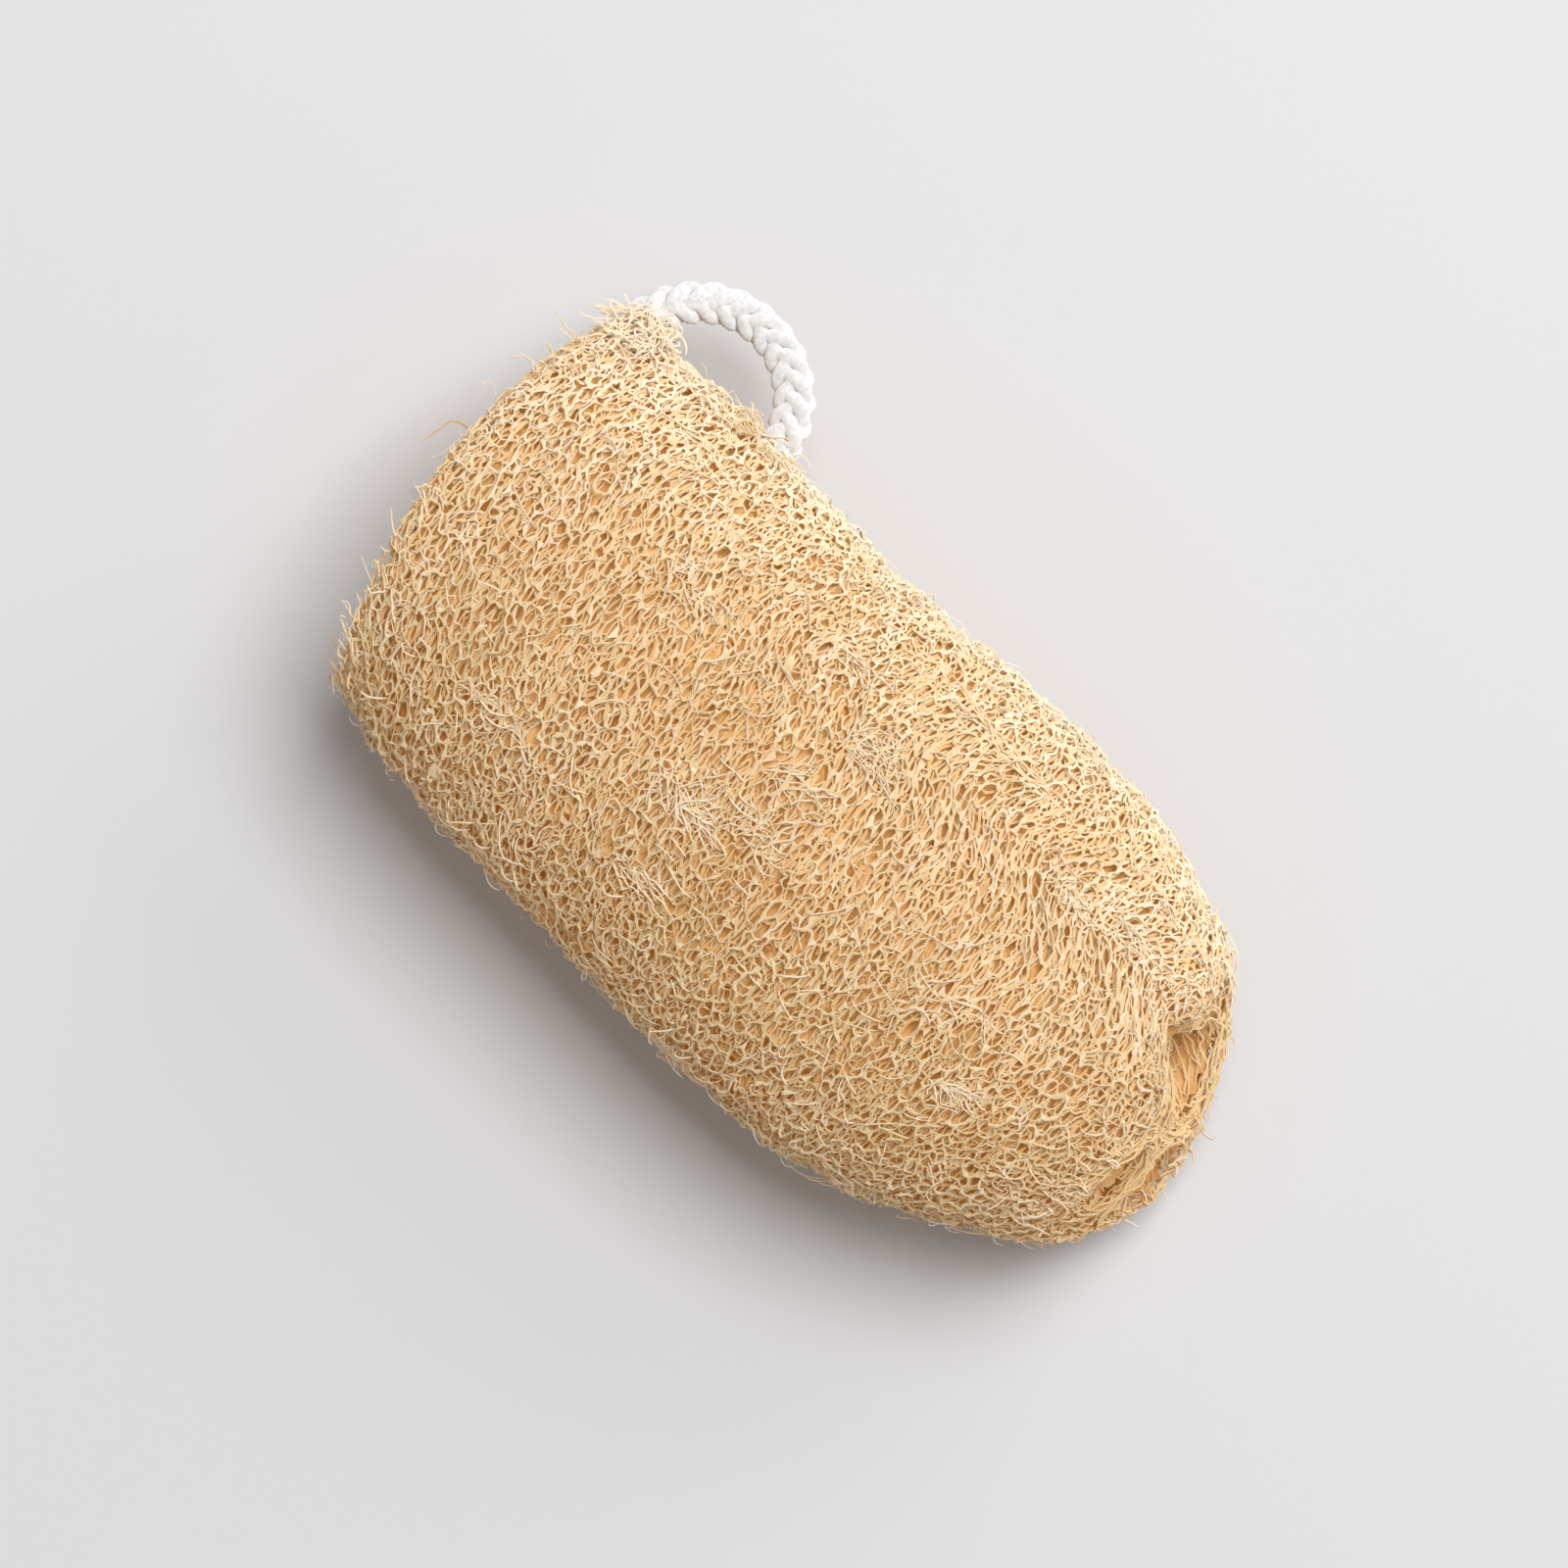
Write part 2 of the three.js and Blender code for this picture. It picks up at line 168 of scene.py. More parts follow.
FACE_NETS = [
    {"cell": (1.9, 1.9), "wander": 0.47, "height": (-0.5, 0.3), "radius": (0.15, 0.27),
     "spacing": 0.9, "tone": 0.3, "dropped": 0.08, "clearance": 0.3, "flare": 0.4, "webs": 0.3},
    {"cell": (1.8, 1.8), "wander": 0.47, "height": (-1.4, -0.5), "radius": (0.15, 0.25),
     "spacing": 1.0, "tone": 0.1, "dropped": 0.05, "clearance": 0.1, "flare": 0.3, "webs": 0.2},
]
CHANNEL_NET = {"cell": (2.6, 1.5), "wander": 0.5, "height": (0.5, 1.7), "radius": (0.08, 0.19),
               "spacing": 1.0, "tone": 0.3, "dropped": 0.15, "flare": 0.4, "webs": 0.3}
CHANNEL_NET_DEPTH = {"far": 20.0, "near": 10.0}

# Long fibres round each far channel mouth. Inset is into the channel, and proud is off the face.
MOUTH_FIBRE_COUNT = 60
MOUTH_FIBRE = {"steps": 22, "sweep": (0.4, 2.2), "inset": (-3.2, 0.9), "slope": (-3.0, 3.0),
               "proud": (-1.6, 0.5), "falls_in": 1.2, "edge": 0.99, "fewest_steps": 4,
               "radius": (0.09, 0.21), "tone": (0.15, 0.6)}

# Veins, flakes and loose fibres on the outside.
VEIN_COUNT = 14
VEIN = {"length": (14, 34), "step": 1.9, "fibres": (3, 7), "radius": (0.11, 0.22),
        "tone": (0.3, 0.6), "height": -0.3}
FLAKE_COUNT = 16
FLAKE = {"edges": 11, "reach": (0.5, 1.2), "narrowed": (0.3, 0.8), "tone": 0.4}
FIBRE_TIP = 0.4  # of its thickness, at a loose fibre's ends
BUNDLE = {"rooted": 0.35, "thick_end": 1.1, "taper": 0.5}
LOOSE_FIBRES = [
    # All over.
    {"count": 800, "ways": {"curl": 1.1}, "spans": {
        "along": (0, LENGTH), "around": (0, GIRTH), "heading": (0, FULL_TURN),
        "length": (2.5, 7.5), "lift": (0.2, 1.7), "radius": (0.08, 0.17), "tone": (0.4, 0.9)}},
    # At the corded rim and at the slanted one.
    {"count": 170, "ways": {"curl": 2.0, "rolled": False, "waver": 1.6}, "spans": {
        "along": (-0.8, 3.0), "around": (0, GIRTH), "heading": (1.4, 4.9),
        "length": (1.5, 6.0), "lift": (-0.6, 1.4), "radius": (0.08, 0.19), "tone": (0.4, 0.8)}},
    {"count": 110, "ways": {"curl": 1.8, "rolled": False, "waver": 1.6}, "spans": {
        "along": (LENGTH - 6, LENGTH + 0.3), "around": (0, GIRTH), "heading": (-2.2, 2.2),
        "length": (2.0, 6.0), "lift": (-1.4, 1.0), "radius": (0.08, 0.19), "tone": (0.3, 0.7)}},
    # A tuft over the cord's leg at the rim, and frayed ends round its other leg.
    {"count": 110,
     "ways": {"curl": 2.2, "rolled": False, "steps": 12, "waver": 1.8, "evenness": 0.8}, "spans": {
        "along": (0.5, 8.5), "around": (43, 59), "heading": (0, FULL_TURN),
        "length": (3.5, 8.5), "lift": (0.3, 2.8), "radius": (0.1, 0.22), "tone": (0.55, 1.0)}},
    {"count": 60, "ways": {"curl": 2.0, "settle": (0.4, 0.9), "steps": 10, "waver": 1.6}, "spans": {
        "along": (20.0, 36.0), "around": (38, 56), "heading": (0, FULL_TURN),
        "length": (3.0, 7.0), "lift": (0.6, 2.2), "radius": (0.08, 0.18), "tone": (0.2, 0.7)}},
    # Longer wisps that cross the slanted end's mouths and its lower lip.
    {"count": 50,
     "ways": {"curl": 1.2, "rolled": False, "settle": (0.4, 0.9), "steps": 11, "waver": 0.7},
     "spans": {
        "along": (LENGTH - 9, LENGTH - 2), "around": (0, GIRTH), "heading": (1.2, 2.0),
        "length": (4.0, 9.0), "lift": (-0.4, 1.6), "radius": (0.09, 0.2), "tone": (0.2, 0.7)}},
]
# Clumps of short pale fibres, matted together, most of them near the crown.
CLUMP_COUNT = 14
CLUMP = {"fibres": 26, "spread": 26, "before": 5.0, "after": 3.0, "half_width": 1.5, "slant": 0.7,
         "ways": {"curl": 0.9, "waver": 1.1, "settle": (0.7, 1.0), "evenness": 0.4},
         "spans": {"length": (2.5, 6.5), "lift": (0.1, 0.6), "radius": (0.09, 0.19),
                   "tone": (0.4, 0.85)}}
# The one long stiff fibre that stands out from the corded end.
SPIKE = np.array([[-65.5, 6.6, 27.5], [-68.0, 5.9, 29.0], [-71.4, 4.9, 30.5], [-71.9, 3.2, 30.3],
                  [-72.5, 0.1, 29.6]])
SPIKE_STEPS = 14
SPIKE_RADII = (0.24, 0.1)
SPIKE_TONE = -0.1

# The felt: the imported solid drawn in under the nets, by its depth at the outside and by less and
# less down to the blend. Its ends are drawn in too.
FELT_DEPTH = 1.5
FELT_BLEND = 6.5
FELT_SHORTER = 0.96

# The cord's braid and its knot.
CORD_STEPS = 260
BRAID_STRANDS = 8
BRAID_PITCH = 12.6
BRAID_STRAND = 0.2
BRAID_WEAVE = 0.45
KNOT_WIDTH = 1.75
KNOT_DEPTH = 1.3
KNOT_LIFT = 1.9
KNOT_OPEN = 0.3  # radians left open between the knot's two ends
KNOT_STEPS = 220
KNOT_CORD_DIAMETER = 3.9

# Colours by their 8-bit screen values, from the darkest to the palest tone.
OUTER_TONES = [(0.25, (213, 184, 137)), (0.55, (221, 198, 156)), (0.8, (227, 208, 171)),
               (1.1, (234, 221, 196))]
# The inner, deep and felt tones are darker and more orange than the outer ones: partly the fibre's
# own colour, partly painted shade and painted warm light from between the layers.
INNER_TONES = [(0.2, (217, 182, 127)), (0.5, (225, 196, 148)), (0.85, (229, 205, 163))]
DEEP_TONES = [(0.2, (218, 174, 112)), (0.5, (226, 189, 134)), (0.85, (230, 199, 151))]
FELT_TONES = [(0.3, (209, 158, 95)), (0.68, (226, 188, 131))]
FILM_TONES = [(0.3, (203, 157, 96)), (0.68, (230, 198, 144))]
CORD_TONES = [(0.3, (216, 215, 214)), (0.65, (234, 233, 232))]
FLOOR_COLOUR = (224, 224, 225)

# Soft light from the picture's upper right. Azimuth 0 is the picture's right, and 90 its top.
LAMP_DISTANCE = 1.2
LAMPS = {
    "key": {"size": 0.6, "power": 11.8, "azimuth": 48, "elevation": 69},
    "side": {"size": 0.8, "power": 3.8, "azimuth": 45, "elevation": 27},
}
SKY_STRENGTH = 0.32
FLOOR_HALF_SIDE = 6.0


def smooth_table(rows, x):
    """The rows of a table whose first column is x, read at any x as one smooth curve."""
    places, values = rows[:, 0], rows[:, 1:]
    slopes = np.empty_like(values)
    slopes[1:-1] = (values[2:] - values[:-2]) / (places[2:] - places[:-2])[:, None]
    slopes[0] = (values[1] - values[0]) / (places[1] - places[0])
    slopes[-1] = (values[-1] - values[-2]) / (places[-1] - places[-2])
    x = np.clip(x, places[0], places[-1])
    low = np.clip(np.searchsorted(places, x, side="right") - 1, 0, len(places) - 2)
    span = (places[low + 1] - places[low])[..., None]
    t = (x - places[low])[..., None] / span
    return (
        (2 * t**3 - 3 * t**2 + 1) * values[low]
        + (t**3 - 2 * t**2 + t) * span * slopes[low]
        + (3 * t**2 - 2 * t**3) * values[low + 1]
        + (t**3 - t**2) * span * slopes[low + 1]
    )


def rounded(value):
    return np.sign(value) * np.abs(value) ** (2 / SECTION_POWER)


def skin(x, angle, height):
    """Points of the sponge's outside, moved outward by height."""
    half_width, middle_y, top, belly = np.moveaxis(smooth_table(STATIONS, x), -1, 0)
    half_height = (top - belly) / 2
    y = middle_y + (half_width + height) * rounded(np.cos(angle))
    z = (top + belly) / 2 + (half_height + height) * rounded(np.sin(angle))
    return np.stack([x + 0 * y, y, z], -1)


def outward(x, angle):
    away = skin(x, angle, 1.0) - skin(x, angle, 0.0)
    return away / np.linalg.norm(away, axis=-1, keepdims=True)


def cord_face_x(y):
    return CORD_END["x"] + CORD_END["roundness"] * (y - CORD_END["peak_y"]) ** 2


def slanted_face_x(y, z):
    rounding = SLANTED_END["roundness"] * (y - SLANTED_END["peak_y"]) ** 2
    cut = SLANTED_END["x"] - rounding - SLANTED_END["slope"] * (z - SLANTED_END["lip_height"])
    rise = np.clip((z - DRAWN_LIP["bottom"]) / (DRAWN_LIP["top"] - DRAWN_LIP["bottom"]), 0, 1)
    notch = LIP_NOTCH["depth"] * np.exp(-(((y - LIP_NOTCH["y"]) / LIP_NOTCH["width"]) ** 2))
    return cut - (DRAWN_LIP["depth"] + notch) * rise**2 * (3 - 2 * rise)


def end_reach(angle):
    """Where the two rims lie along X, at each angle round the sponge."""
    near = skin(np.full_like(angle, -END_SECTION_X), angle, 0.0)
    far = skin(np.full_like(angle, END_SECTION_X), angle, 0.0)
    return cord_face_x(near[..., 1]), slanted_face_x(far[..., 1], far[..., 2])


def channel_form(x, angle):
    """Middle y and z, half width and half height of one seed channel."""
    out_y, out_z, half_width, half_height = np.moveaxis(smooth_table(CHANNEL_STATIONS, x), -1, 0)
    _, middle_y, top, belly = np.moveaxis(smooth_table(STATIONS, x), -1, 0)
    y = middle_y + out_y * math.cos(angle)
    z = (top + belly) / 2 + out_z * math.sin(angle)
    return y, z, half_width, half_height


def in_a_channel(points, margin):
    """True for points inside a seed channel, or within margin of its wall."""
    inside = np.zeros(len(points), bool)
    for angle in CHANNEL_ANGLES:
        y, z, half_width, half_height = channel_form(points[:, 0], angle)
        across = (points[:, 1] - y) / (half_width + margin)
        up = (points[:, 2] - z) / (half_height + margin)
        inside |= across**2 + up**2 < 1
    return inside


def scattered(rng, length, girth, pitch_along, pitch_around, wander):
    """Unevenly spread points on a strip, in staggered rows."""
    rows = max(1, round(length / pitch_along))
    columns = max(1, round(girth / pitch_around))
    row, column = np.meshgrid(np.arange(rows + 1), np.arange(columns), indexing="ij")
    along = (row + wander * rng.uniform(-1, 1, row.shape)) * length / rows
    around = column + 0.5 * (row % 2) + wander * rng.uniform(-1, 1, row.shape)
    points = np.stack([along.ravel(), around.ravel() * girth / columns], 1)
    drift = np.stack([wavy(rng, points, DRIFT["scale"]), wavy(rng, points, DRIFT["scale"])], 1)
    return points + DRIFT["share"] * drift * [pitch_along, pitch_around]


def cell_borders(points, pitch, girth=None):
    """Crossings and the strands that join them, round the cells about the points.

    With girth, the strip's two edges meet and the net runs on across them.
    """
    if girth is not None:
        margin = 4 * pitch[1]
        points = points * [1, 0] + (points % girth) * [0, 1]
        before = points[points[:, 1] > girth - margin] - [0, girth]
        after = points[points[:, 1] < margin] + [0, girth]
        points = np.concatenate([points, before, after])
    places, _, faces, *_ = delaunay_2d_cdt([Vector(p) for p in points / pitch], [], [], 0, 1e-9)
    places = np.array(places) * pitch
    corners = np.array(faces)
    crossings = places[corners].mean(1)
    sides = np.sort(np.concatenate([corners[:, [0, 1]], corners[:, [1, 2]], corners[:, [2, 0]]]), 1)
    owner = np.tile(np.arange(len(corners)), 3)
    key = sides[:, 0].astype(np.int64) * len(places) + sides[:, 1]
    order = np.argsort(key, kind="stable")
    key, owner = key[order], owner[order]
    twin = np.nonzero(key[1:] == key[:-1])[0]
    links = np.stack([owner[twin], owner[twin + 1]], 1)
    if girth is not None:
        around = crossings[links, 1]
        links = links[(around.min(1) < girth) & (around.min(1) >= 0)]
    return crossings, links


def kept_links(links, keep):
    return links[keep[links].all(1)]


def strings_of(crossings, links):
    """The strands strung together: at each crossing the straightest pair runs on as one fibre."""
    at = links.ravel()
    toward = crossings[links[:, ::-1].ravel()] - crossings[at]
    toward /= np.linalg.norm(toward, axis=1, keepdims=True) + 1e-9
    order = np.argsort(at, kind="stable")
    starts = np.nonzero(np.diff(at[order], prepend=-1))[0]
    partner = np.full(len(at), -1)
    for group in np.split(order, starts[1:]):
        if len(group) < 2:
            continue
        facing = toward[group] @ toward[group].T
        first, second = np.unravel_index(np.argmin(facing), facing.shape)
        if facing[first, second] < STRAIGHT_ENOUGH:
            partner[group[first]], partner[group[second]] = group[second], group[first]
    strings = []
    used = np.zeros(len(links), bool)
    loose_first = np.concatenate([np.nonzero(partner < 0)[0], np.arange(len(at))])
    for half in loose_first:
        if used[half // 2]:
            continue
        string = [at[half]]
        while half >= 0 and not used[half // 2]:
            used[half // 2] = True
            half = half ^ 1
            string.append(at[half])
            half = partner[half]
        strings.append(string)
    return strings


def between_points(p0, p1, p2, p3, t):
    """The smooth curve through four points, at the share t of the way from p1 to p2."""
    return 0.5 * (2 * p1 + (p2 - p0) * t + (2 * p0 - 5 * p1 + 4 * p2 - p3) * t**2
                  + (3 * p1 - p0 - 3 * p2 + p3) * t**3)


def along_strings(values, strings, spacing):
    """Smooth values between the crossings of each string, about spacing apart.

    The first two columns of values are places, by which the spacing is measured. Also returned are
    each value's string, and its share of the way from one crossing to the next.
    """
    entry = np.concatenate(strings)
    which = np.repeat(np.arange(len(strings)), [len(s) for s in strings])
    start = np.nonzero(which[1:] == which[:-1])[0]
    end = start + 1
    before = np.where((start > 0) & (which[start] == which[start - 1]), start - 1, start)
    after = np.minimum(end + 1, len(entry) - 1)
    after = np.where(which[after] == which[end], after, end)
    gap = np.linalg.norm(values[entry[end], :2] - values[entry[start], :2], axis=1)
    count = np.clip(np.ceil(gap / spacing), 1, MOST_STEPS).astype(int)
    total = count + (after == end)
    link = np.repeat(np.arange(len(start)), total)
    step = np.arange(len(link)) - np.repeat(np.cumsum(total) - total, total)
    share = step / count[link]
    around_each = [values[entry[i]][link] for i in (before, start, end, after)]
    return between_points(*around_each, share[:, None]), which[start][link], share


def unit(vectors):
    return vectors / (np.linalg.norm(vectors, axis=-1, keepdims=True) + 1e-12)


def new_object(name, data):
    made = bpy.data.objects.new(name, data)
    bpy.context.scene.collection.objects.link(made)
    return made


def make_piece(name, corners, faces, material):
    mesh = bpy.data.meshes.new(name)
    mesh.from_pydata(corners * MM, [], faces)
    mesh.polygons.foreach_set("use_smooth", np.ones(len(mesh.polygons), bool))
    mesh.materials.append(material)
    made = new_object(name, mesh)
    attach(made, "root")
    return made


class Solid:
    """Corners, faces, tones and directions of shading gathered for one mesh."""

    def __init__(self):
        self.corners, self.faces, self.tones, self.normals = [], [], [], []
        self.count = 0

    def add(self, corners, face_groups, tones, normals=None):
        """Without normals, or where they are zero, the faces' own directions are used."""
        self.corners.append(corners)
        for faces in face_groups:
            self.faces.extend((faces + self.count).tolist())
        self.tones.append(tones)
        self.normals.append(np.zeros(corners.shape) if normals is None else normals)
        self.count += len(corners)

    def piece(self, name, material, slot):
        made = make_piece(name, np.concatenate(self.corners), self.faces, material)
        tone = made.data.attributes.new("tone", "FLOAT", "POINT")
        tone.data.foreach_set("value", np.concatenate(self.tones).astype(np.float32))
        made.data.normals_split_custom_set_from_vertices(np.concatenate(self.normals))
        return made


def add_tubes(solid, points, which, radius, up, tone, sides=3, end_taper=0.6, evenness=EVENNESS):
    """Closed tubes through the points. Points of the same string follow each other.

    Evenness turns their shading towards up, as light that soaks through a thin fibre evens it out.
    """
    follows = np.zeros(len(points), bool)
    follows[1:] = which[1:] == which[:-1]
    leads = np.append(follows[1:], False)
    ahead = np.where(leads[:, None], np.roll(points, -1, 0), points)
    behind = np.where(follows[:, None], np.roll(points, 1, 0), points)
    tangent = unit(ahead - behind)
    side = unit(np.cross(tangent, up))
    lift = np.cross(side, tangent)
    radius = np.where(follows & leads, radius, radius * end_taper)[:, None]
    turns = math.pi / 2 + np.arange(sides) * FULL_TURN / sides
    spokes = [math.cos(a) * side + math.sin(a) * lift for a in turns]
    corners = np.stack([points + radius * spoke for spoke in spokes], 1).reshape(-1, 3)
    normals = np.stack([unit(spoke + evenness * up) for spoke in spokes], 1).reshape(-1, 3)
    base = np.nonzero(leads)[0] * sides
    walls = []
    for k in range(sides):
        n = (k + 1) % sides
        walls.append(np.stack([base + k, base + sides + k, base + sides + n, base + n], 1))
    first = (np.nonzero(~follows)[0] * sides)[:, None] + np.arange(sides)
    last = (np.nonzero(~leads)[0] * sides)[:, None] + np.arange(sides)[::-1]
    solid.add(corners, [np.concatenate(walls), first, last], np.repeat(tone, sides), normals)


def wavy(rng, places, scale, count=5):
    """Smooth random unevenness between about -1 and 1, over any number of coordinates."""
    total = np.zeros(len(places))
    for _ in range(count):
        heading = rng.normal(size=places.shape[1])
        total += np.sin(places @ heading * (FULL_TURN / scale) + rng.uniform(0, FULL_TURN))
    return total / math.sqrt(count)


# The nets that wrap the sponge.
def angle_at(around):
    share = around / GIRTH
    return SEAM_ANGLE + FULL_TURN * share + CROWDING * np.sin(FULL_TURN * share)


def inland(along):
    """1 well away from the rims and nearly 0 at them, where fibres are seen from both sides."""
    from_rims = np.minimum(along / RIM_BLEND["near"], (LENGTH - along) / RIM_BLEND["far"])
    return np.clip(from_rims, RIM_BLEND["least"], 1)[:, None]


def on_net(along, around, height, rolled=True):
    """Places on the outside. Rolled nets turn in over the rims, and others run on past them."""
    angle = angle_at(around)
    from_heap = np.hypot(along - HEAP["along"], around - HEAP["around"]) / HEAP["reach"]
    height = height + HEAP["rise"] * np.exp(-(from_heap**2))
    near, far = end_reach(angle)
    x = near + (far - near) * along / LENGTH
    if not rolled:
        points = skin(x, angle, height)
        points[:, 2] = np.maximum(points[:, 2], LOWEST)
        return points, outward(x, angle) * inland(along)
    x = np.where(along < 0, near + along, np.minimum(x, far))
    roll = np.clip((along - LENGTH + LIP_LENGTH) / LIP_LENGTH, 0, 1)
    roll_near = np.clip((CORD_RIM_LENGTH - along) / CORD_RIM_LENGTH, 0, 1)
    sunk = LIP_ROLL * (1 - np.sqrt(1 - roll**2)) + CORD_RIM_ROLL * (1 - np.sqrt(1 - roll_near**2))
    points = skin(x, angle, height - sunk)
    over = np.maximum(along - LENGTH, 0)
    middle = smooth_table(STATIONS, far)
    centre = np.stack([far, middle[:, 1], (middle[:, 2] + middle[:, 3]) / 2], 1)
    inward = unit((centre - points) * [0, 1, 1])
    points = points + inward * over[:, None]
    bowed = slanted_face_x(points[:, 1], points[:, 2])
    dip = np.minimum(over, OVER_FACE["dip_length"]) * OVER_FACE["dip_slope"]
    on_face = bowed + height * OVER_FACE["relief"] + OVER_FACE["lift"] - dip
    points[:, 0] = np.where(over > 0, on_face, points[:, 0])
    points[:, 2] = np.maximum(points[:, 2], LOWEST)
    return points, outward(x, angle) * inland(along)


def lit_flank_and_end_paling(points):
    """How much paler the sponge is on one flank and round the ends than along its crown. The paler
    flank is the one that faces the lamps: painted light.
    """
    flank = np.clip(points[:, 1] / LIT_FLANK_AND_ENDS["flank"], 0, 1)
    ends = np.abs(points[:, 0]) / (LENGTH / 2)
    return LIT_FLANK_AND_ENDS["more_aside"] * flank + LIT_FLANK_AND_ENDS["more_at_ends"] * ends**2 - LIT_FLANK_AND_ENDS["less_between"]


def net_on(place, solid, rng, crossings, links, net):
    """A net's strands between its crossings. place turns strip coordinates into points."""
    links = links[rng.random(len(links)) > net["dropped"]]
    count = len(crossings)
    height = rng.uniform(*net["height"], count)
    height += net.get("swell", 0) * wavy(rng, crossings, STRAND["swell_scale"])
    thin, thick = net["radius"]
    radius = thin + (thick - thin) * rng.random(count) ** STRAND["thin_bias"]
    values = np.column_stack([crossings, height, radius, rng.random(count)])
    strings = strings_of(crossings, links)
    smooth, which, share = along_strings(values, strings, net["spacing"])
    between = 4 * share * (1 - share)
    wobble = net.get("wobble", STRAND["wobble"])
    smooth[:, :2] += rng.normal(0, wobble, (len(smooth), 2)) * between[:, None]
    smooth[:, 2] += rng.normal(0, STRAND["stray"], len(smooth)) * between
    thickness = rng.uniform(*STRAND["fullness"], len(strings))[which] * smooth[:, 3]
    thickness *= 1 + net["flare"] * (1 - STRAND["waist"] * between)
    placed, up = place(smooth[:, 0], smooth[:, 1], smooth[:, 2])
    shade = net["tone"] + STRAND["tone_by_string"] * (rng.random(len(strings))[which] - 0.5)
    shade += STRAND["tone_along"] * (smooth[:, 4] - 0.5)
    # painted light: paler on the flank that faces the lamps; paler towards the ends too
    shade += lit_flank_and_end_paling(placed)
    add_tubes(solid, placed, which, thickness, up, shade)
    if net.get("webs"):
        add_webs(place, solid, rng, values, links, net)


def add_webs(place, solid, rng, values, links, net):
    """Thin skins in the corners where three strands meet."""
    at = links.ravel()
    other = links[:, ::-1].ravel()
    order = np.argsort(at, kind="stable")
    at, other = at[order], other[order]
    begins = np.nonzero(np.diff(at, prepend=-1))[0]
    threes = begins[np.diff(np.append(begins, len(at))) == 3]
    threes = threes[rng.random(len(threes)) < net["webs"]]
    hub = values[at[threes]]
    reach = rng.uniform(*WEB["reach"], (len(threes), 3, 1))
    tips = hub[:, None] + (values[other[threes[:, None] + np.arange(3)]] - hub[:, None]) * reach
    hub = WEB["hub_share"] * hub + WEB["tip_share"] * tips.mean(1)
    rows = np.concatenate([hub[:, None], tips], 1).reshape(-1, values.shape[1])
    placed, _ = place(rows[:, 0], rows[:, 1], rows[:, 2])
    first = 4 * np.arange(len(threes))[:, None]
    faces = [first + [0, 1, 2], first + [0, 2, 3], first + [0, 3, 1]]
    solid.add(placed, faces, np.full(len(placed), net["tone"] + WEB["paler"]))


def wrapping_net(solid, rng, net):
    before, past = net["ragged"]
    reach = LENGTH + before + past
    points = scattered(rng, reach, GIRTH, *net["cell"], net["wander"]) - [before, 0]
    crossings, links = cell_borders(points, np.array(net["cell"]), GIRTH)
    count = len(crossings)
    near_edge = rng.uniform(-before, RIM_INSIDE["near"], count)
    far_edge = LENGTH + rng.uniform(-RIM_INSIDE["far"], past, count)
    links = kept_links(links, (crossings[:, 0] > near_edge) & (crossings[:, 0] < far_edge))
    net_on(on_net, solid, rng, crossings, links, net)


# The cut ends and the seed channels behind them.
def face_net(solid, rng, net, far):
    """A net over one cut end, round the mouths of the channels."""
    points = scattered(rng, FACE_WIDTH, FACE_HEIGHT, *net["cell"], net["wander"])
    crossings, links = cell_borders(points - [FACE_WIDTH / 2, 0], np.array(net["cell"]))

    def place(across, up, depth):
        x = slanted_face_x(across, up) if far else cord_face_x(across)
        points = np.stack([x + (depth if far else -depth), across, up], 1)
        lit_from = unit(np.array([1.0 if far else -1.0, 0.0, FACE_LEAN]))
        return points, np.tile(lit_from, (len(points), 1))

    flat, _ = place(crossings[:, 0], crossings[:, 1], np.zeros(len(crossings)))
    keep = (skin_share(flat) < FACE_EDGE) & ~in_a_channel(flat, net["clearance"])
    links = kept_links(links, keep)
    net_on(place, solid, rng, crossings, links, net)


def skin_share(points):
    """How far out towards the outside each point lies: 1 on it, 0 in the middle."""
    half_width, middle_y, top, belly = np.moveaxis(smooth_table(STATIONS, points[:, 0]), -1, 0)
    across = np.abs(points[:, 1] - middle_y) / half_width
    up = np.abs(points[:, 2] - (top + belly) / 2) / ((top - belly) / 2)
    return (across**SECTION_POWER + up**SECTION_POWER) ** (1 / SECTION_POWER)


def in_channel(angle, x, turn, inset):
    """Points on a channel's wall, moved into the channel by inset."""
    y, z, half_width, half_height = channel_form(x, angle)
    return np.stack([x, y + (half_width - inset) * np.cos(turn),
                     z + (half_height - inset) * np.sin(turn)], 1)


def channel_mouths(angle, turn):
    """Where a channel's wall meets the two cut ends, at each turn round it."""
    near = in_channel(angle, np.full_like(turn, MOUTH_SECTION_X["near"]), turn, 0)
    far = in_channel(angle, np.full_like(turn, MOUTH_SECTION_X["far"]), turn, 0)
    return cord_face_x(near[:, 1]), slanted_face_x(far[:, 1], far[:, 2])


